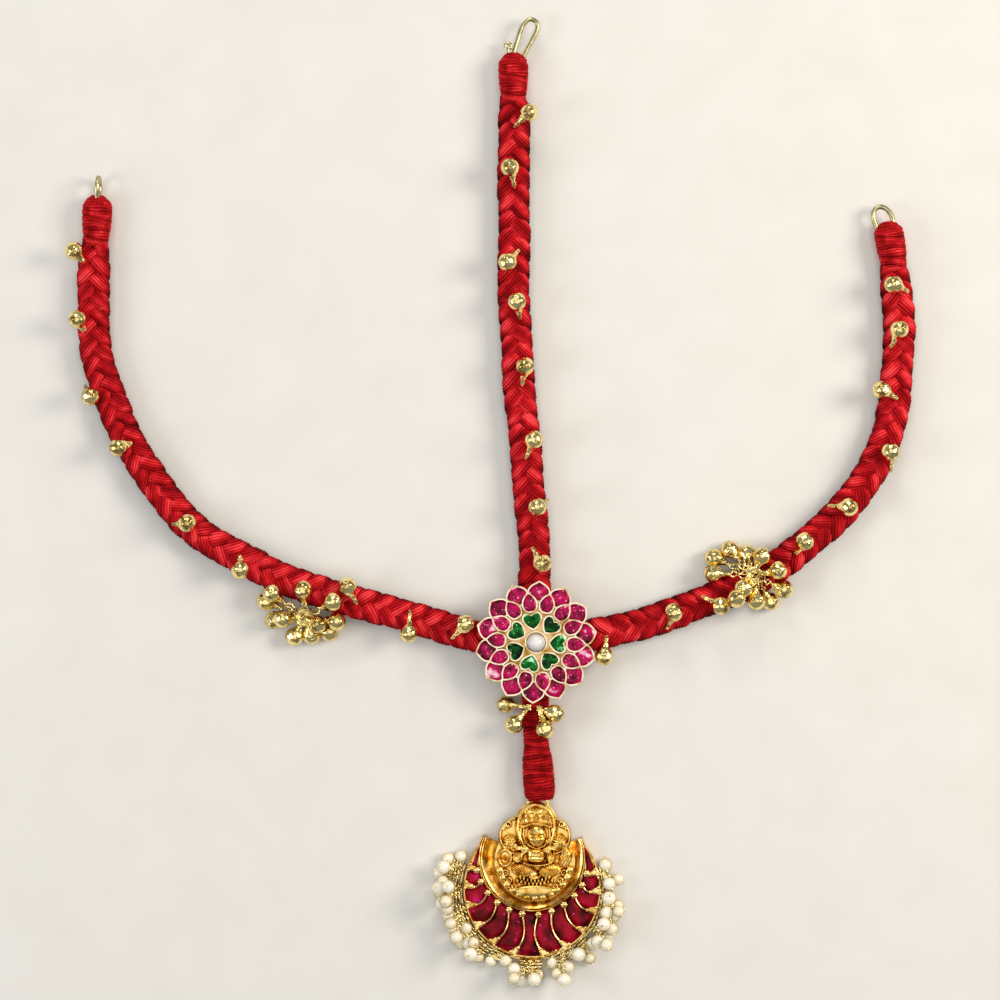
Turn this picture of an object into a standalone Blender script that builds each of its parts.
# A bridal maang tikka of three plaited thread arms, a stone-set flower, and a crescent pendant.
# It lies face up on a table: X runs across it, Y up towards the top hook, Z out of the table.
# The origin is the centre of the pendant's outer circle, on the plane of its flat back.

import math

import bmesh
import bpy
import numpy as np
from mathutils import Matrix, Vector

MM = 0.001

# Gaps between pieces that touch on the real jewel
CLEARANCE = 0.3 * MM

# Plaited arms
BRAID_WIDTH = 8.5 * MM
BRAID_THICKNESS = 6.0 * MM
PLAIT_PERIOD = 14.4 * MM
LOBE_RELIEF = 0.55 * MM
ARM_JOIN_GAP = 0.7 * MM

# Whipped thread ends and the whipped stem
WRAP_LENGTH = 13.6 * MM
WRAP_WIDTH = 8.2 * MM
WRAP_THICKNESS = 6.6 * MM
STEM_WIDTH = 8.7 * MM
STEM_THICKNESS = 6.6 * MM
STEM_HIDDEN = 13.0 * MM

# Hook and loop wire
HOOK_WIRE = 1.25 * MM
HOOK_DEPTH = 3.0 * MM
SIDE_LOOP_WIRE = 1.35 * MM
EYE_WIRE = 0.6 * MM

# Small hollow bells and their shanks
BELL_DIAMETER = 4.5 * MM
BELL_NECK = 0.7 * MM
SHANK_WIRE = 0.9 * MM
SHANK_LIFT = 0.9 * MM
BELL_OVERLAP = 0.1 * MM
KNOT_RING = 4.0 * MM
KNOT_WIRE = 1.1 * MM
TWIST_RADIUS = 0.75 * MM

# Stone-set flower
FLOWER_X = 1.0 * MM
FLOWER_Y = 67.1 * MM
FLOWER_RADIUS = 16.4 * MM
FLOWER_PETALS = 14
PLATE_THICKNESS = 1.2 * MM
OUTER_STONE_HEIGHT = 1.5 * MM
INNER_STONE_HEIGHT = 2.1 * MM
HEART_COUNT = 7
HEART_PLACE = 5.75 * MM
HEART_RADIUS = 2.35 * MM
HEART_HEIGHT = 1.4 * MM
BOSS_RADIUS = 7.75 * MM
BOSS_HEIGHT = 0.8 * MM
FLOWER_PEARL_RADIUS = 2.55 * MM

# Crescent pendant
PENDANT_RADIUS = 18.6 * MM
CUP_RADIUS = 14.1 * MM
CUP_X = 0.0 * MM
CUP_Y = 8.4 * MM
TRAY_THICKNESS = 2.0 * MM
TRAY_INNER_RADIUS = 3.0 * MM
GROOVE_RISE = 0.4 * MM
STONE_SLOPE = 0.9 * MM
HORN_WIDTH = 0.7 * MM
STONE_TABLE = 2.8 * MM
RIM_HEIGHT = 3.2 * MM
RIM_WIDTH = 0.45 * MM
CUP_RIM_HEIGHT = 4.2 * MM
CUP_RIM_WIDTH = 0.95 * MM
CUP_SLOPE = 1.1 * MM
FIGURE_PLATE = 1.3 * MM
FIGURE_RELIEF = 3.4 * MM
LOOP_WIRE = 1.0 * MM
BAIL_LEFT = 1.9 * MM
BAIL_RIGHT = 3.05 * MM
BAIL_SHOULDER = 2.0 * MM
BAIL_REACH = 4.5 * MM

# Pearl fringe
PEARL_DIAMETER = 3.0 * MM
PEARL_GAP = 0.05 * MM
PEARL_SEAT = 0.8 * MM
BUNCH_RADIUS = 2.7 * MM
BUNCH_FAN = 75.0
PIN_KNOT_WIDTH = 3.4 * MM
CARRIER_WIRE = 0.8 * MM

# Routes of the arms on the table, in millimetres from the flower's centre, from hook end to flower
TOP_ROUTE = ((-6.2, 159.2), (-6.1, 152.9), (-5.9, 125.8), (-5.9, 93.2), (-4.6, 71.5), (-2.7, 50.4),
             (-1.2, 34.2), (-0.4, 22.0), (0.0, 0.0), (-0.1, -14.0), (0.0, -25.2), (0.5, -33.3),
             (1.15, -42.95))
LEFT_ROUTE = ((-118.5, 120.6), (-119.1, 107.6), (-119.9, 95.7), (-118.9, 78.2), (-115.8, 67.4),
              (-111.2, 56.5), (-102.4, 41.7), (-90.5, 28.8), (-75.0, 20.1), (-58.9, 13.4), (-42.1, 8.9),
              (-25.7, 3.9), (-15.0, 1.2), (-5.0, 0.2))
RIGHT_ROUTE = ((94.9, 113.5), (96.8, 102.6), (98.1, 89.5), (98.1, 78.7), (97.1, 65.0), (94.4, 54.3),
               (89.9, 44.3), (83.1, 35.7), (75.2, 28.1), (66.7, 21.1), (57.2, 15.8), (47.2, 11.2),
               (36.8, 7.5), (26.4, 4.1), (15.6, 1.7), (5.0, 0.3))

# Bells of each arm: distance along it and across it in millimetres, way and reach of the shank. A
# distance below nought is measured back from where the arm runs in under the flower's rim.
BELL_COLUMNS = ("along", "across", "turn", "reach")
TOP_BELLS = ((16.8, 4.1, -136, 5.6), (31.6, -1.1, -76, 5.6), (57.0, -1.7, 48, 4.8), (67.6, 0.7, -80, 5.0),
             (85.2, 1.8, -98, 5.6), (105.1, 2.5, -113, 5.8), (123.2, 1.7, 34, 3.6), (-4.73, 2.0, 122, 5.4))
LEFT_BELLS = ((15.8, -5.1, -48, 4.2), (33.6, -3.7, -60, 3.6), (53.6, -4.2, 127, 4.0), (68.8, -2.9, 20, 3.6),
              (95.8, 0.2, 184, 4.4), (114.5, -2.6, 94, 4.2), (143.2, 3.7, -61, 5.6), (162.6, -4.0, 88, 6.2),
              (-3.51, 2.7, -132, 5.6))
RIGHT_BELLS = ((17.4, -1.5, -22, 5.0), (29.6, -0.6, -112, 5.4), (46.4, -4.4, -28, 5.2),
               (62.4, 1.9, -81, 5.4), (80.7, 0.3, 177, 5.2), (95.7, -1.2, -125, 4.4),
               (123.9, 2.3, 154, 5.8), (136.3, -0.4, -111, 5.0), (-0.93, 6.1, 82, 5.8))

# Bell clusters: distance along and across the arm, then each bell's place from the knot ring
LEFT_CLUSTER_PLACE = (134.4, -7.7)
LEFT_CLUSTER = ((-8.5, 6.6), (-10.5, 4.2), (0.0, 7.6), (8.1, 4.3), (-8.2, -0.9), (-5.7, -0.4),
                (-2.7, -5.3), (1.9, -5.0), (3.7, -2.0), (6.8, -4.2), (8.9, -1.2))
RIGHT_CLUSTER_PLACE = (112.5, -1.3)
RIGHT_CLUSTER = ((-10.3, 4.6), (-5.9, 6.8), (-1.4, 5.7), (2.3, 5.1), (-10.8, 0.5), (6.5, 1.4),
                 (-2.8, -3.5), (-4.9, -6.1), (0.8, -6.9), (5.1, -7.2), (8.4, -3.8))

# Four bells that hang below the flower and where each pair is tied: bearing in degrees from the
# flower's centre, and distance beyond its rim in millimetres
LEFT_DROPS = ((-104.8, 6.67), (-115.3, 2.52))
RIGHT_DROPS = ((-84.1, 7.12), (-75.2, 3.56))
LEFT_DROP_KNOT = (-96.2, 1.30)
RIGHT_DROP_KNOT = (-87.4, 1.52)

# Pearl bunches of the fringe: bearings in degrees from the pendant's centre, distances beyond its rim
# in millimetres, and how many large pearls fan out round each bunch's twist of gold pins
LEFT_BUNCH_ANGLES = (166.0, 183.5, 202.0, 218.0, 230.0, 243.6, 264.4)
LEFT_BUNCH_BEYOND = (3.5, 3.8, 3.4, 3.6, 3.4, 3.3, 4.6)
LEFT_PEARL_COUNTS = (3, 3, 3, 2, 2, 2, 3)
LEFT_CARRIER_ANGLES = (160.0, 276.0)
RIGHT_BUNCH_ANGLES = (291.3, 312.0, 326.6, 338.4, 350.5, 371.5)
RIGHT_BUNCH_BEYOND = (4.0, 4.2, 4.2, 3.7, 4.0, 3.4)
RIGHT_PEARL_COUNTS = (3, 3, 2, 2, 3, 2)
RIGHT_CARRIER_ANGLES = (278.5, 377.0)

# Bearings of the gold dividers on each side of the crescent's middle, and of its two horns
DIVIDER_MIDDLE = 268.0
DIVIDER_ANGLES = (10.0, 24.0, 38.5, 53.0, 67.0, 81.0)
DIVIDER_SWEEP = 6.0
HORN_ANGLES = (155.5, 382.0)

# Swelling of the whipped ends and stem: share of the length, then share of the width
END_SHAPE = ((0.0, 0.42), (0.1, 0.80), (0.24, 1.0), (0.6, 0.97), (0.85, 0.86), (1.0, 0.82))
STEM_SHAPE = ((0.0, 0.88), (0.3, 0.84), (0.45, 0.80), (0.56, 0.85), (0.63, 0.95), (0.8, 1.0), (0.93, 0.98),
              (1.0, 0.82))

# Bent wires, in millimetres outward and sideways from the arm's end
TOP_HOOK_PATH = ((-HOOK_DEPTH / MM, 0.0), (0.0, 0.3), (3.0, 1.2), (5.8, 2.1), (7.8, 3.2), (9.0, 4.9),
                 (8.2, 6.5), (6.7, 6.8), (5.0, 6.2), (2.6, 4.9), (0.7, 3.8), (-1.4, 2.7),
                 (-HOOK_DEPTH / MM, 2.0))
LEFT_LOOP_PATH = ((-HOOK_DEPTH / MM, -1.2), (-0.8, -1.5), (1.4, -2.3), (3.2, -2.2), (4.6, -0.8), (4.6, 0.8),
                  (3.2, 2.2), (1.4, 2.3), (-0.8, 1.5), (-HOOK_DEPTH / MM, 1.2))
RIGHT_LOOP_PATH = ((-HOOK_DEPTH / MM, -2.3), (-0.2, -3.1), (2.2, -3.3), (3.7, -2.6), (4.3, -1.3), (3.8, 0.1),
                   (2.6, 1.1), (0.8, 1.7), (-HOOK_DEPTH / MM, 1.5))
EYE_PATH = ((-2.2, -1.25), (0.1, -1.25), (1.05, -1.25), (1.45, -0.56), (2.25, -0.56), (2.65, -1.25),
            (2.25, -1.94), (1.58, -2.0))

# Stones' outlines, outward and sideways, as shares of the flower's or the heart's radius
OUTER_PETAL = ((1.0, 0.0), (0.935, 0.090), (0.82, 0.150), (0.73, 0.064), (0.68, 0.0),
               (0.73, -0.064), (0.82, -0.150), (0.935, -0.090))
INNER_PETAL = ((0.77, 0.0), (0.72, 0.052), (0.64, 0.092), (0.54, 0.084), (0.50, 0.0),
               (0.54, -0.084), (0.64, -0.092), (0.72, -0.052))
HEART = ((-1.0, 0.0), (-0.35, 0.75), (0.35, 1.05), (0.85, 0.72), (0.60, 0.0),
         (0.85, -0.72), (0.35, -1.05), (-0.35, -0.75))
FIRST_PETAL_BEARING = 86.8
FIRST_HEART_BEARING = -3.2

# The casting's middle, the circles whose joined outline is its own, and its raised forms, which are
# (x, y, half width, half height) in millimetres and the rise as a share of the relief
FIGURE_MIDDLE = (0.7, 9.6)
FIGURE_OUTLINE = ((1.1, 18.1, 5.7), (-3.9, 14.4, 5.2), (5.4, 14.4, 5.2), (0.8, 13.6, 7.6), (0.7, 7.5, 10.9))
FIGURE_FORMS = ((1.1, 14.7, 2.7, 2.9, 1.0), (1.1, 19.6, 2.6, 2.2, 0.7), (1.0, 9.4, 3.1, 3.4, 0.75),
                (-3.0, 5.4, 3.6, 2.0, 0.8), (4.2, 5.4, 3.6, 2.0, 0.8), (-3.8, 9.0, 1.7, 1.7, 0.6),
                (5.2, 9.0, 1.7, 1.7, 0.6), (-5.9, 13.4, 2.1, 2.4, 0.5), (7.8, 13.4, 2.1, 2.4, 0.5),
                (-7.3, 8.4, 2.0, 2.6, 0.35), (9.0, 7.6, 2.0, 2.6, 0.35), (0.7, 1.2, 7.5, 2.4, 0.4))


for existing in list(bpy.data.objects):
    bpy.data.objects.remove(existing, do_unlink=True)


def make_material(name, colour, roughness, metallic):
    """A plain finish of one colour."""
    material = bpy.data.materials.new(name)
    material.use_nodes = True
    shader = material.node_tree.nodes["Principled BSDF"]
    shader.inputs["Base Color"].default_value = (*colour, 1.0)
    shader.inputs["Roughness"].default_value = roughness
    shader.inputs["Metallic"].default_value = metallic
    material.diffuse_color = (*colour, 1.0)
    return material


GOLD = make_material("gold", (0.90, 0.58, 0.16), 0.25, 1.0)
THREAD = make_material("crimson_thread", (0.50, 0.01, 0.02), 0.8, 0.0)
WHIPPING = make_material("crimson_whipping", (0.42, 0.01, 0.02), 0.7, 0.0)
EMERALD = make_material("emerald_glass", (0.0, 0.16, 0.05), 0.05, 0.0)
PEARL = make_material("pearl", (0.85, 0.80, 0.72), 0.3, 0.0)


def add_node(name, bm, material, sharp_angle=35.0):
    """Turn a bmesh into a named object with one material and smooth round faces."""
    bmesh.ops.recalc_face_normals(bm, faces=bm.faces)
    mesh = bpy.data.meshes.new(name)
    bm.to_mesh(mesh)
    bm.free()
    mesh.materials.append(material)
    mesh.shade_smooth()
    mesh.set_sharp_from_angle(angle=math.radians(sharp_angle))
    node = bpy.data.objects.new(name, mesh)
    bpy.context.scene.collection.objects.link(node)
    return node


def as_guide(obj):
    """Mark an object as a helper that is cut with or fused into another."""
    obj.hide_render = True
    obj.display_type = 'WIRE'
    return obj


def cut_from(node, cutter):
    """Cut the closed cutter out of the node."""
    modifier = node.modifiers.new("cut_" + cutter.name, 'BOOLEAN')
    modifier.operation = 'DIFFERENCE'
    modifier.solver = 'EXACT'
    modifier.object = as_guide(cutter)


def fuse_into(node, pieces):
    """Fuse closed pieces that reach into the node with it."""
    group = bpy.data.collections.new(node.name + "_pieces")
    for piece in pieces:
        bpy.context.scene.collection.objects.unlink(piece)
        group.objects.link(as_guide(piece))
    bpy.context.scene.collection.children.link(group)
    modifier = node.modifiers.new("fuse", 'BOOLEAN')
    modifier.operation = 'UNION'
    modifier.solver = 'EXACT'
    modifier.operand_type = 'COLLECTION'
    modifier.collection = group


def skin(bm, rings):
    """Close a row of point rings into a skin: it may start at a point, and a ring may have
    half the points of the one before."""
    rows = [[bm.verts.new(point) for point in ring] for ring in rings]
    for row, after in zip(rows, rows[1:]):
        count = len(row)
        if count == 1:
            for i in range(len(after)):
                bm.faces.new((row[0], after[i - 1], after[i]))
        elif len(after) == count:
            for i in range(count):
                j = (i + 1) % count
                bm.faces.new((row[i], row[j], after[j], after[i]))
        else:
            half = len(after)
            for i in range(half):
                first, middle, last = row[2 * i], row[2 * i + 1], row[(2 * i + 2) % count]
                near, far = after[i], after[(i + 1) % half]
                bm.faces.new((first, middle, near))
                bm.faces.new((middle, last, far))
                bm.faces.new((middle, far, near))
    for row in (rows[0], rows[-1]):
        if len(row) > 2:
            bm.faces.new(row)
    return bm


def tube(points, radius, sides):
    """A round wire with flat ends through the given points, its rings turned with the path."""
    points = [Vector(point) for point in points]
    bm = bmesh.new()
    rings = []
    tangents = []
    for i in range(len(points)):
        before = points[max(i - 1, 0)]
        after = points[min(i + 1, len(points) - 1)]
        tangents.append((after - before).normalized())
    upright = Vector((0, 0, 1)) if abs(tangents[0].z) < 0.9 else Vector((1, 0, 0))
    side = tangents[0].cross(upright).normalized()
    for point, tangent in zip(points, tangents):
        side = (side - tangent * side.dot(tangent)).normalized()
        up = side.cross(tangent)
        turns = [2 * math.pi * k / sides for k in range(sides)]
        rings.append([point + radius * (math.cos(t) * side + math.sin(t) * up) for t in turns])
    return skin(bm, rings)


def smooth_through(points, per_span=12):
    """A smooth curve through hand-chosen points, by a Catmull-Rom spline."""
    p = np.array(points, float)
    p = np.vstack([2 * p[0] - p[1], p, 2 * p[-1] - p[-2]])
    t = np.linspace(0, 1, per_span, endpoint=False)[:, None]
    spans = []
    for a, b, c, d in zip(p, p[1:], p[2:], p[3:]):
        spans.append(0.5 * (2 * b + (c - a) * t + (2 * a - 5 * b + 4 * c - d) * t ** 2
                            + (3 * b - a - 3 * c + d) * t ** 3))
    return np.vstack(spans + [p[-2:-1]])


class Arm:
    """The centre line of an arm on the table, measured along its length from the hook end."""

    def __init__(self, route):
        self.line = smooth_through(route) * MM + np.array((FLOWER_X, FLOWER_Y))
        steps = np.hypot(*np.diff(self.line, axis=0).T)
        self.reach = np.concatenate([[0.0], np.cumsum(steps)])
        self.length = self.reach[-1]

    def centre(self, along):
        return np.stack([np.interp(along, self.reach, self.line[:, k]) for k in (0, 1)], axis=-1)

    def forward(self, along):
        step = 0.5 * MM
        inside = np.clip(along, step, self.length - step)
        way = self.centre(inside + step) - self.centre(inside - step)
        return way / np.linalg.norm(way, axis=-1, keepdims=True)

    def across(self, along):
        way = self.forward(along)
        return np.stack([-way[..., 1], way[..., 0]], axis=-1)

    def place(self, along, across):
        overshoot = np.asarray(along) - np.clip(along, 0, self.length)
        ground = self.centre(along) + self.forward(along) * np.asarray(overshoot)[..., None]
        return ground + self.across(along) * np.asarray(across)[..., None]

    def offset(self, spot):
        return np.min(np.hypot(*(self.line - np.asarray(spot)).T))

    def at_flower_rim(self):
        """Distance along the arm at which it runs in under the flower's rim."""
        away = np.hypot(*(self.line - np.array((FLOWER_X, FLOWER_Y))).T)
        inside = np.argmax(away <= FLOWER_RADIUS)
        crossing = slice(inside - 1, inside + 1)
        return np.interp(-FLOWER_RADIUS, -away[crossing], self.reach[crossing])


def braid_top(offset):
    """Height of the plait's rounded back at a distance from its centre line."""
    round_part = BRAID_THICKNESS / 2
    flat_part = BRAID_WIDTH / 2 - round_part
    beyond = max(abs(offset) - flat_part, 0.0)
    if beyond >= round_part:
        return 0.0
    return BRAID_THICKNESS / 2 + math.sqrt(round_part ** 2 - beyond ** 2)


def ball_height(offset, radius):
    """Height of a ball's centre that lies against the plait, or on the table beside it."""
    round_part = BRAID_THICKNESS / 2
    flat_part = BRAID_WIDTH / 2 - round_part
    beyond = max(abs(offset) - flat_part, 0.0)
    apart = round_part + radius + CLEARANCE
    if beyond >= apart:
        return radius
    return max(radius, BRAID_THICKNESS / 2 + math.sqrt(apart ** 2 - beyond ** 2))


def braid(name, arm, start, end):
    """A three-strand plait: ridges run out from the middle to each edge, half a step apart."""
    lobe = PLAIT_PERIOD / 3
    step = lobe / 2
    # Places round one half of the section, from the middle of the front to that of the back
    turns = np.radians((12.0, 62.0, 118.0, 168.0))
    widths = BRAID_WIDTH / 2 * (np.sin(turns) / math.sin(turns[1])) ** 0.8
    heights = BRAID_THICKNESS / 2 * np.cos(turns) / math.cos(turns[0])
    shear = PLAIT_PERIOD / 2 * turns / math.pi
    relief = LOBE_RELIEF * np.array((0.5, 1.0, 1.0, 0.5))
    length = end - start
    rows = int(math.ceil((length + PLAIT_PERIOD) / step)) + 2
    bm = bmesh.new()
    rings = []
    for row in range(rows):
        base = row * step - PLAIT_PERIOD / 2 - step
        right = relief * (row % 2)
        left = relief * ((row + 1) % 2)
        half_right = np.stack([widths - right, base + shear, heights * (1 - right / BRAID_THICKNESS)], axis=1)
        half_left = np.stack([left - widths, base + shear, heights * (1 - left / BRAID_THICKNESS)], axis=1)
        rings.append(np.vstack([half_right, half_left[::-1]]))
    skin(bm, rings)
    for level, side in ((0.0, -1), (length, 1)):
        cut = bmesh.ops.bisect_plane(bm, geom=bm.verts[:] + bm.edges[:] + bm.faces[:],
                                     plane_co=(0, level, 0), plane_no=(0, side, 0), clear_outer=True)
        rim = [item for item in cut["geom_cut"] if isinstance(item, bmesh.types.BMEdge)]
        bmesh.ops.holes_fill(bm, edges=rim, sides=0)
    spots = np.array([vert.co for vert in bm.verts])
    ground = arm.place(start + spots[:, 1], -spots[:, 0])
    for vert, spot, flat in zip(bm.verts, spots, ground):
        vert.co = (flat[0], flat[1], spot[2] + BRAID_THICKNESS / 2)
    bmesh.ops.triangulate(bm, faces=bm.faces)
    return add_node(name, bm, THREAD, 30.0)


def whipped_end(name, arm, start, length, width, thickness, shape, material):
    """A barrel of close-wound thread round the arm; shape lists shares of its length and width."""
    sides = 10
    bm = bmesh.new()
    rings = []
    for share, swell in shape:
        ring = []
        for k in range(sides):
            turn = 2 * math.pi * k / sides
            across = width / 2 * swell * math.cos(turn)
            spot = arm.place(start + share * length, across)
            ring.append((spot[0], spot[1], thickness / 2 * (1 + swell * math.sin(turn))))
        rings.append(ring)
    skin(bm, rings)
    return add_node(name, bm, material, 40.0)


def bell_rings(centre, root, lift):
    """A ball with a drawn-in neck, and a bent wire from the neck down to its root."""
    centre = Vector(centre)
    root = Vector(root)
    radius = BELL_DIAMETER / 2
    side = (root - centre).cross(Vector((0, 0, 1))).normalized()
    axis = (root + Vector((0, 0, lift)) - centre).normalized()
    profile = ((-0.72, 0.70), (0.0, 1.0), (0.70, 0.72))
    rings = [[centre - axis * radius]]

    def ring(middle, way, size, count):
        up = side.cross(way).normalized()
        turns = [2 * math.pi * k / count for k in range(count)]
        return [middle + size * (math.cos(t) * side + math.sin(t) * up) for t in turns]

    for forward, size in profile:
        rings.append(ring(centre + axis * forward * radius, axis, size * radius, 10))
    neck = centre + axis * (radius + BELL_NECK)
    rings.append(ring(neck, axis, SHANK_WIRE / 2, 5))
    if lift > 0:
        bend = (neck + root) / 2 + Vector((0, 0, lift * 0.6))
        rings.append(ring(bend, (root - neck).normalized(), SHANK_WIRE / 2, 5))
        neck = bend
    rings.append(ring(root, (root - neck).normalized(), SHANK_WIRE / 2, 5))
    return rings


def arm_bell(name, arm, along, across, turn, reach):
    """One bell beside or on the plait, its shank sewn into the plait."""
    radius = BELL_DIAMETER / 2
    start = arm.at_flower_rim() if along < 0 else 0.0
    spot = arm.place(start + along * MM, across * MM)
    height = ball_height(across * MM, radius)
    way = np.array((math.cos(math.radians(turn)), math.sin(math.radians(turn))))
    root = spot + way * reach * MM
    seat = max(braid_top(arm.offset(root)), BRAID_THICKNESS / 2) + CLEARANCE + SHANK_WIRE / 2
    rings = bell_rings((*spot, height), (*root, seat), SHANK_LIFT)
    return add_node(name, skin(bmesh.new(), rings), GOLD, 50.0)


def stacked_height(spot, arm, placed, radius):
    """Height of a ball at a spot: on the plait, on the table or on the balls already there."""
    height = ball_height(arm.offset(spot), radius)
    apart = 2 * radius - BELL_OVERLAP
    for x, y, z in placed:
        distance = math.hypot(spot[0] - x, spot[1] - y)
        if distance < apart and abs(height - z) < math.sqrt(apart ** 2 - distance ** 2):
            height = z + math.sqrt(apart ** 2 - distance ** 2)
    return height


def closed_ring(points, radius, sides):
    """A round wire bent into a closed flat ring."""
    bm = bmesh.new()
    middle = sum((Vector(point) for point in points), Vector()) / len(points)
    rows = []
    for point in points:
        out = (Vector(point) - middle).normalized()
        up = Vector((0, 0, 1))
        turns = [2 * math.pi * k / sides for k in range(sides)]
        rows.append([bm.verts.new(Vector(point) + radius * (math.cos(t) * out + math.sin(t) * up))
                     for t in turns])
    for row, after in zip(rows, rows[1:] + rows[:1]):
        for i in range(sides):
            j = (i + 1) % sides
            bm.faces.new((row[i], row[j], after[j], after[i]))
    return bm


def bell_cluster(name, arm, place, bells, knot_height):
    """A bunch of bells whose wires all run to one small ring."""
    radius = BELL_DIAMETER / 2
    middle = arm.place(place[0] * MM, place[1] * MM)
    placed = []
    pieces = []
    for x, y in bells:
        spot = middle + np.array((x, y)) * MM
        placed.append((*spot, stacked_height(spot, arm, placed, radius)))
    for k, bell in enumerate(placed):
        way = np.array(bell[:2]) - middle
        way = way / np.linalg.norm(way) * KNOT_RING / 2
        root = (middle[0] + way[0], middle[1] + way[1], knot_height)
        rings = bell_rings(bell, root, 0.0)
        pieces.append(add_node("%s_bell_%d" % (name, k + 1), skin(bmesh.new(), rings), GOLD))
    turns = [2 * math.pi * k / 10 for k in range(10)]
    ring = [(middle[0] + KNOT_RING / 2 * math.cos(t), middle[1] + KNOT_RING / 2 * math.sin(t), knot_height)
            for t in turns]
    node = add_node(name, closed_ring(ring, KNOT_WIRE / 2, 5), GOLD, 50.0)
    fuse_into(node, pieces)
    return node


def ball(centre, radius):
    """A round bead with ten sides."""
    bm = bmesh.new()
    bmesh.ops.create_uvsphere(bm, u_segments=10, v_segments=4, radius=radius,
                              matrix=Matrix.Translation(Vector(centre)))
    return bm


def stone(outline, low, table, inset):
    """A cut stone: a sloping crown with one facet a side, and a flat table."""
    middle = np.mean(outline, axis=0)
    table_line = middle + (np.array(outline) - middle) * inset
    return skin(bmesh.new(), [[(x, y, low) for x, y in outline], [(x, y, table) for x, y in table_line]])


def turned(outline, bearing, middle):
    """Turn an outline given as (outward, sideways) pairs to a bearing about a middle."""
    c, s = math.cos(bearing), math.sin(bearing)
    return [(middle[0] + u * c - v * s, middle[1] + u * s + v * c) for u, v in outline]


# The three plaits and the whipped stem
top_arm = Arm(TOP_ROUTE)
left_arm = Arm(LEFT_ROUTE)
right_arm = Arm(RIGHT_ROUTE)
flower = np.array((FLOWER_X, FLOWER_Y))
braid_start = WRAP_LENGTH + CLEARANCE
flower_along = top_arm.reach[np.argmin(np.hypot(*(top_arm.line - flower).T))]
stem_start = flower_along + STEM_HIDDEN
side_gap = BRAID_WIDTH / 2 + ARM_JOIN_GAP
left_end = left_arm.reach[np.argmin(np.abs(left_arm.line[:, 0] - (FLOWER_X - side_gap)))]
right_end = right_arm.reach[np.argmin(np.abs(right_arm.line[:, 0] - (FLOWER_X + side_gap)))]
braid("braid_top", top_arm, braid_start, stem_start - CLEARANCE)
braid("braid_left", left_arm, braid_start, left_end)
braid("braid_right", right_arm, braid_start, right_end)

wraps = {}
for end_name, arm in (("top", top_arm), ("left", left_arm), ("right", right_arm)):
    wraps[end_name] = whipped_end("whipping_" + end_name, arm, 0.0, WRAP_LENGTH, WRAP_WIDTH,
                                  WRAP_THICKNESS, END_SHAPE, WHIPPING)
stem = whipped_end("whipped_stem", top_arm, stem_start, top_arm.length - stem_start, STEM_WIDTH,
                   STEM_THICKNESS, STEM_SHAPE, WHIPPING)


def hook(name, arm, wrap, wire, path, upright=False):
    """A bent wire whose ends sit in holes in the whipping; path is (outward, sideways) from its end."""
    base = arm.centre(0.0)
    out = -arm.forward(0.0)
    side = arm.across(0.0)
    points = []
    for outward, sideways in smooth_through(path, 2):
        if upright:
            spot = base + out * outward * MM
            points.append((spot[0], spot[1], WRAP_THICKNESS / 2 + sideways * MM))
        else:
            spot = base + out * outward * MM + side * sideways * MM
            points.append((spot[0], spot[1], WRAP_THICKNESS / 2))
    node = add_node(name, tube(points, wire / 2, 5), GOLD, 50.0)
    cut_from(wrap, add_node(name + "_hole", tube(points, wire / 2 + CLEARANCE, 6), GOLD))
    return node


hook("top_hook", top_arm, wraps["top"], HOOK_WIRE, TOP_HOOK_PATH)
hook("top_eye", top_arm, wraps["top"], EYE_WIRE, EYE_PATH)
hook("left_loop", left_arm, wraps["left"], SIDE_LOOP_WIRE, LEFT_LOOP_PATH, upright=True)
hook("right_loop", right_arm, wraps["right"], SIDE_LOOP_WIRE, RIGHT_LOOP_PATH)

# Bells of the arms, the two clusters, and the four bells below the flower
for arm_name, arm, rows in (("top", top_arm, TOP_BELLS), ("left", left_arm, LEFT_BELLS),
                            ("right", right_arm, RIGHT_BELLS)):
    for number, row in enumerate(rows, 1):
        arm_bell("bell_%s_%d" % (arm_name, number), arm, **dict(zip(BELL_COLUMNS, row)))
bell_cluster("bell_cluster_left", left_arm, LEFT_CLUSTER_PLACE, LEFT_CLUSTER, BELL_DIAMETER)
bell_cluster("bell_cluster_right", right_arm, RIGHT_CLUSTER_PLACE, RIGHT_CLUSTER,
             BRAID_THICKNESS + CLEARANCE + SHANK_WIRE)


def beyond_rim(bearing, beyond):
    """A spot at a bearing from the flower's centre and a distance in millimetres beyond its rim."""
    way = np.array((math.cos(math.radians(bearing)), math.sin(math.radians(bearing))))
    return flower + (FLOWER_RADIUS + beyond * MM) * way


def drop_pair(name, drops, knot):
    """Two bells under the flower whose wires meet in one twist on the stem."""
    radius = BELL_DIAMETER / 2
    spot = beyond_rim(*knot)
    seat = BRAID_THICKNESS + CLEARANCE + TWIST_RADIUS
    pieces = []
    for k, drop in enumerate(drops):
        place = beyond_rim(*drop)
        height = ball_height(top_arm.offset(place), radius + CLEARANCE)
        rings = bell_rings((*place, height), (*spot, seat), 0.0)
        pieces.append(add_node("%s_bell_%d" % (name, k + 1), skin(bmesh.new(), rings), GOLD))
    node = add_node(name, ball((*spot, seat), TWIST_RADIUS), GOLD, 50.0)
    fuse_into(node, pieces)


drop_pair("flower_bells_left", LEFT_DROPS, LEFT_DROP_KNOT)
drop_pair("flower_bells_right", RIGHT_DROPS, RIGHT_DROP_KNOT)

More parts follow.
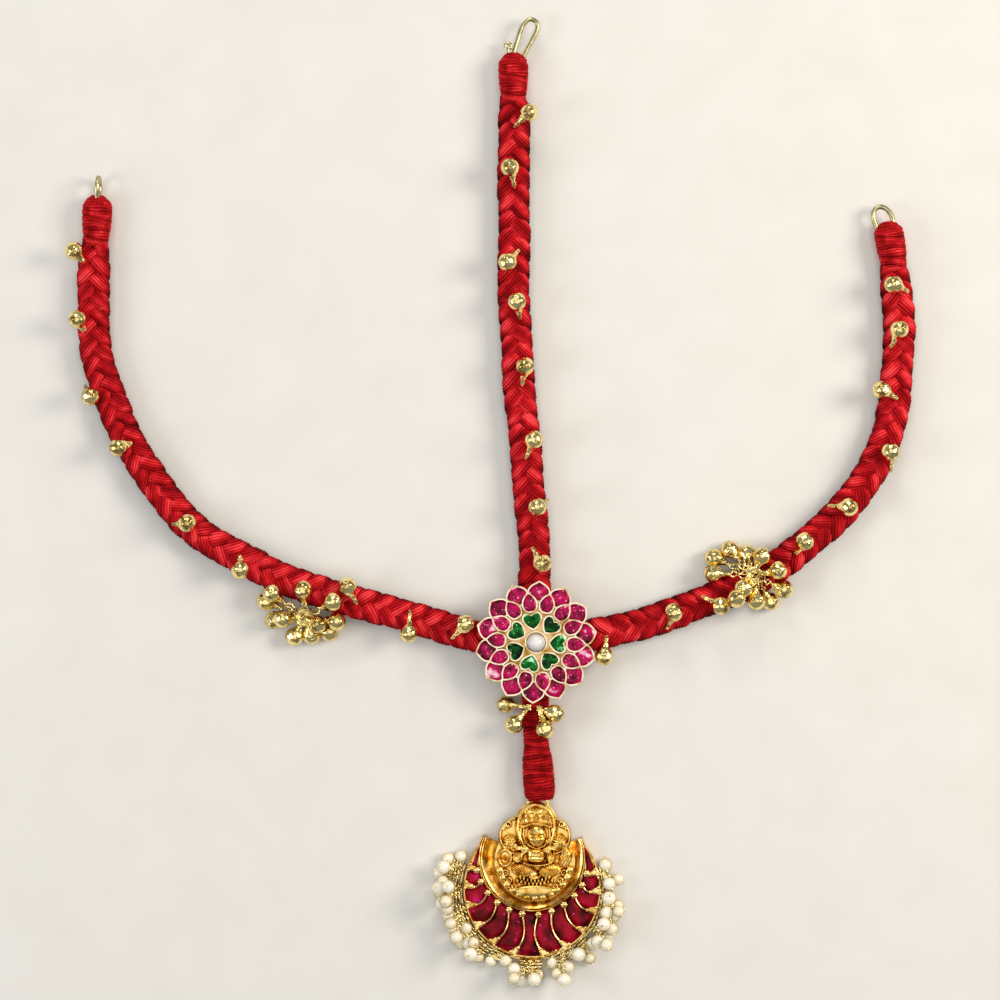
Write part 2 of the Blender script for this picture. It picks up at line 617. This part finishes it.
# The flower: a scalloped gold plate, two rounds of ruby petals, a raised middle, hearts and a pearl
flower_back = BRAID_THICKNESS + CLEARANCE
plate_top = flower_back + PLATE_THICKNESS
boss_top = plate_top + BOSS_HEIGHT
first_bearing = math.radians(FIRST_PETAL_BEARING)
petal_step = 2 * math.pi / FLOWER_PETALS
scallop = []
for k in range(2 * FLOWER_PETALS):
    bearing = first_bearing + k * petal_step / 2
    share = 1.01 if k % 2 == 0 else 0.87
    scallop.append((FLOWER_X + FLOWER_RADIUS * share * math.cos(bearing),
                    FLOWER_Y + FLOWER_RADIUS * share * math.sin(bearing)))
plate = skin(bmesh.new(), [[(x, y, flower_back) for x, y in scallop],
                           [(x, y, plate_top) for x, y in scallop]])
flower_node = add_node("flower_setting", plate, GOLD, 20.0)
settings = []
for k in range(FLOWER_PETALS):
    for outline, height, shift in ((OUTER_PETAL, OUTER_STONE_HEIGHT, 0.0),
                                   (INNER_PETAL, INNER_STONE_HEIGHT, 0.5)):
        shape = [(u * FLOWER_RADIUS, v * FLOWER_RADIUS) for u, v in outline]
        petal = turned(shape, first_bearing + (k + shift) * petal_step, flower)
        ruby = stone(petal, plate_top - CLEARANCE / 3, plate_top + height, 0.66)
        settings.append(add_node("petal_%d_%d" % (k + 1, 2 * shift + 1), ruby, GOLD))
boss_line = []
for k in range(FLOWER_PETALS):
    bearing = first_bearing + k * petal_step
    boss_line.append((FLOWER_X + BOSS_RADIUS * math.cos(bearing), FLOWER_Y + BOSS_RADIUS * math.sin(bearing)))
boss = skin(bmesh.new(), [[(x, y, plate_top - PLATE_THICKNESS / 4) for x, y in boss_line],
                          [(x, y, boss_top) for x, y in boss_line]])
settings.append(add_node("boss", boss, GOLD))
fuse_into(flower_node, settings)
for k in range(HEART_COUNT):
    bearing = math.radians(FIRST_HEART_BEARING) + 2 * math.pi * k / HEART_COUNT
    spot = flower + HEART_PLACE * np.array((math.cos(bearing), math.sin(bearing)))
    shape = [(u * HEART_RADIUS, v * HEART_RADIUS) for u, v in HEART]
    low = boss_top + CLEARANCE
    add_node("emerald_%d" % (k + 1), stone(turned(shape, bearing, spot), low, low + HEART_HEIGHT, 0.6),
             EMERALD, 10.0)
pearl_height = boss_top + CLEARANCE + FLOWER_PEARL_RADIUS
add_node("flower_pearl", ball((FLOWER_X, FLOWER_Y, pearl_height), FLOWER_PEARL_RADIUS), PEARL, 60.0)


def rim_distance(bearing):
    """Distance from the cup's centre to the pendant's outer circle, never inside the cup's rim."""
    way = np.array((math.cos(bearing), math.sin(bearing)))
    towards = -(way @ np.array((CUP_X, CUP_Y)))
    apart = CUP_X ** 2 + CUP_Y ** 2
    outer = towards + math.sqrt(PENDANT_RADIUS ** 2 - apart + towards ** 2)
    return max(outer, CUP_RADIUS + HORN_WIDTH)


def crescent():
    """The gold tray, its cup rim and outer rim, and the ruby field with curved dividers, in one loft."""
    middle = math.radians(DIVIDER_MIDDLE)
    dividers = sorted([middle - math.radians(a) for a in DIVIDER_ANGLES]
                      + [middle + math.radians(a) for a in DIVIDER_ANGLES])
    edges = [math.radians(HORN_ANGLES[0])] + dividers + [math.radians(HORN_ANGLES[1])]
    stations = [(edges[0], True)]
    for here, after in zip(edges, edges[1:]):
        inset = min(0.25 * (after - here), math.radians(3.5))
        stations += [(here + inset, False), (after - inset, False), (after, True)]
    rings = []
    for bearing, is_divider in stations:
        outer = rim_distance(bearing)
        field = outer - CUP_RADIUS
        crest = RIM_HEIGHT if is_divider else STONE_TABLE
        slope = min(STONE_SLOPE, 0.25 * field)
        edge = min(RIM_WIDTH, 0.2 * field)
        profile = [(TRAY_INNER_RADIUS, 0.0), (TRAY_INNER_RADIUS, TRAY_THICKNESS),
                   (CUP_RADIUS - CUP_RIM_WIDTH / 2 - CUP_SLOPE, TRAY_THICKNESS),
                   (CUP_RADIUS - CUP_RIM_WIDTH / 2, CUP_RIM_HEIGHT), (CUP_RADIUS + edge, CUP_RIM_HEIGHT),
                   (CUP_RADIUS + edge + 0.1 * field, TRAY_THICKNESS + GROOVE_RISE),
                   (CUP_RADIUS + edge + 0.1 * field + slope, crest), (outer - edge - slope, crest),
                   (outer - edge, RIM_HEIGHT), (outer, RIM_HEIGHT), (outer, 0.0)]
        side = -1.0 if bearing > middle else 1.0
        ring = []
        for distance, height in profile:
            share = min(max((distance - CUP_RADIUS) / field, 0.0), 1.0)
            away = min(abs(bearing - middle) / math.radians(DIVIDER_ANGLES[0]), 1.0)
            horn = min((edges[-1] - bearing) / 0.4, (bearing - edges[0]) / 0.4, 1.0)
            sweep = side * away * horn * math.radians(DIVIDER_SWEEP) * math.sin(math.pi * share)
            turn = bearing + (sweep if 0.02 < share < 0.98 else 0.0)
            ring.append((CUP_X + distance * math.cos(turn), CUP_Y + distance * math.sin(turn), height))
        rings.append(ring)
    return skin(bmesh.new(), rings)


add_node("pendant_crescent", crescent(), GOLD, 20.0)

# The cast seated figure: hood, head, crown, shoulders, hands and crossed legs as raised forms

def spoke_point(turn, reach, share):
    return ((FIGURE_MIDDLE[0] + reach * share * math.cos(turn)) * MM,
            (FIGURE_MIDDLE[1] + reach * share * math.sin(turn)) * MM)


def figure_height(turn, reach, share):
    """Height of the casting: its plate, and the highest dome over the spot."""
    x = FIGURE_MIDDLE[0] + reach * share * math.cos(turn)
    y = FIGURE_MIDDLE[1] + reach * share * math.sin(turn)
    rise = 0.0
    for form_x, form_y, half_width, half_height, part in FIGURE_FORMS:
        spread = ((x - form_x) / half_width) ** 2 + ((y - form_y) / half_height) ** 2
        rise = max(rise, part * math.sqrt(max(0.0, 1.0 - spread)))
    return FIGURE_PLATE + FIGURE_RELIEF * rise


def figure():
    """A casting with a flat back, its face a sum of smooth domes on a polar grid."""
    spokes, steps = 28, 8
    low = TRAY_THICKNESS + CLEARANCE
    rings = []
    turns = [2 * math.pi * k / spokes for k in range(spokes)]
    reaches = []
    for turn in turns:
        way = np.array((math.cos(turn), math.sin(turn)))
        reach = 0.0
        for x, y, radius in FIGURE_OUTLINE:
            to_middle = np.array((x - FIGURE_MIDDLE[0], y - FIGURE_MIDDLE[1]))
            towards = way @ to_middle
            under = radius ** 2 - to_middle @ to_middle + towards ** 2
            if under >= 0:
                reach = max(reach, towards + math.sqrt(under))
        reaches.append(reach)
    rings.append([(*spoke_point(t, r, 1.0), low) for t, r in zip(turns, reaches)])
    for step in range(steps):
        share = 1.0 - step / steps
        rings.append([(*spoke_point(t, r, share), low + figure_height(t, r, share))
                      for t, r in zip(turns, reaches)])
    return skin(bmesh.new(), rings)


figure_node = add_node("pendant_figure", figure(), GOLD, 40.0)
loop_height = TRAY_THICKNESS + CLEARANCE + FIGURE_PLATE * 0.6
stem_foot = top_arm.centre(top_arm.length)
stem_up = -top_arm.forward(top_arm.length)
stem_side = top_arm.across(top_arm.length)
loop_points = []
for down, aside in ((-HOOK_DEPTH, BAIL_RIGHT), (BAIL_SHOULDER, BAIL_RIGHT), (BAIL_REACH, BAIL_RIGHT / 2),
                    (BAIL_REACH, -BAIL_LEFT / 2), (BAIL_SHOULDER, -BAIL_LEFT), (-HOOK_DEPTH, -BAIL_LEFT)):
    spot = stem_foot - stem_up * down + stem_side * aside
    loop_points.append((spot[0], spot[1], loop_height))
fuse_into(figure_node, [add_node("pendant_loop", tube(loop_points, LOOP_WIRE / 2, 6), GOLD)])
cut_from(stem, add_node("loop_hole", tube(loop_points, LOOP_WIRE / 2 + CLEARANCE, 6), GOLD))


def pin_knot(bearing, beyond):
    """The twist of a bunch's pins, from the carrier wire outwards: its axes, middle and half sizes."""
    turn = math.radians(bearing)
    carrier = PENDANT_RADIUS + CLEARANCE
    half_length = (PENDANT_RADIUS + beyond * MM + PIN_KNOT_WIDTH - carrier - CARRIER_WIRE / 2) / 2
    axes = np.array(((math.cos(turn), math.sin(turn), 0), (-math.sin(turn), math.cos(turn), 0), (0, 0, 1)))
    middle = axes[0] * (carrier + half_length) + axes[2] * PIN_KNOT_WIDTH / 2
    return axes, middle, np.array((half_length, PIN_KNOT_WIDTH / 2, PIN_KNOT_WIDTH / 2))


def pearl_places(bunches):
    """Pearls in a ring round each bunch's knot, pushed apart where they run into each other, but
    never off the knot that holds them."""
    radius = PEARL_DIAMETER / 2
    places = []
    knots = []
    for number, (bearing, beyond, count) in enumerate(bunches):
        turn = math.radians(bearing)
        centre = (PENDANT_RADIUS + beyond * MM) * np.array((math.cos(turn), math.sin(turn)))
        for k in range(count):
            spread = turn + math.radians(BUNCH_FAN) * (k - (count - 1) / 2)
            spot = centre + BUNCH_RADIUS * np.array((math.cos(spread), math.sin(spread)))
            places.append((*spot, radius * (1.0 + 1.1 * ((k + number) % 2))))
            knots.append(pin_knot(bearing, beyond))
    places = np.array(places)
    nearest = PENDANT_RADIUS + CLEARANCE + CARRIER_WIRE + radius
    for _ in range(60):
        for i in range(len(places)):
            apart = places[i] - places
            distances = np.linalg.norm(apart, axis=1)
            distances[i] = 1.0
            short = np.clip(PEARL_DIAMETER + PEARL_GAP - distances, 0, None)
            push = short[:, None] * apart / distances[:, None]
            places[i] += 0.5 * push.sum(axis=0)
            places[i, 2] = max(places[i, 2], radius)
            out = np.hypot(*places[i, :2])
            if out < nearest:
                places[i, :2] *= nearest / out
            axes, middle, half_sizes = knots[i]
            off = places[i] - middle
            reach = np.linalg.norm(axes @ off / (half_sizes + radius - PEARL_SEAT))
            places[i] = middle + off / max(reach, 1.0)
    return places


def fringe(name, bunches, carrier_angles):
    """Pearl bunches on gold pins, all twisted on one wire along the pendant's edge."""
    first, last = carrier_angles
    carrier = PENDANT_RADIUS + CLEARANCE + CARRIER_WIRE / 2
    count = 11
    bearings = [math.radians(first + (last - first) * k / (count - 1)) for k in range(count)]
    line = [(carrier * math.cos(t), carrier * math.sin(t), PEARL_DIAMETER / 2) for t in bearings]
    node = add_node(name, tube(line, CARRIER_WIRE / 2, 5), PEARL, 60.0)
    pieces = []
    for k, place in enumerate(pearl_places(bunches)):
        pieces.append(add_node("%s_pearl_%d" % (name, k + 1), ball(place, PEARL_DIAMETER / 2), PEARL))
    for k, (bearing, beyond, _) in enumerate(bunches):
        _, middle, half_sizes = pin_knot(bearing, beyond)
        place = Matrix.Translation(middle) @ Matrix.Rotation(math.radians(bearing), 4, 'Z')
        knot = bmesh.new()
        bmesh.ops.create_icosphere(knot, subdivisions=1, radius=1.0,
                                   matrix=place @ Matrix.Diagonal((*half_sizes, 1.0)))
        pieces.append(add_node("%s_knot_%d" % (name, k + 1), knot, GOLD))
    fuse_into(node, pieces)


left_bunches = tuple(zip(LEFT_BUNCH_ANGLES, LEFT_BUNCH_BEYOND, LEFT_PEARL_COUNTS))
right_bunches = tuple(zip(RIGHT_BUNCH_ANGLES, RIGHT_BUNCH_BEYOND, RIGHT_PEARL_COUNTS))
fringe("pearl_fringe_left", left_bunches, LEFT_CARRIER_ANGLES)
fringe("pearl_fringe_right", right_bunches, RIGHT_CARRIER_ANGLES)
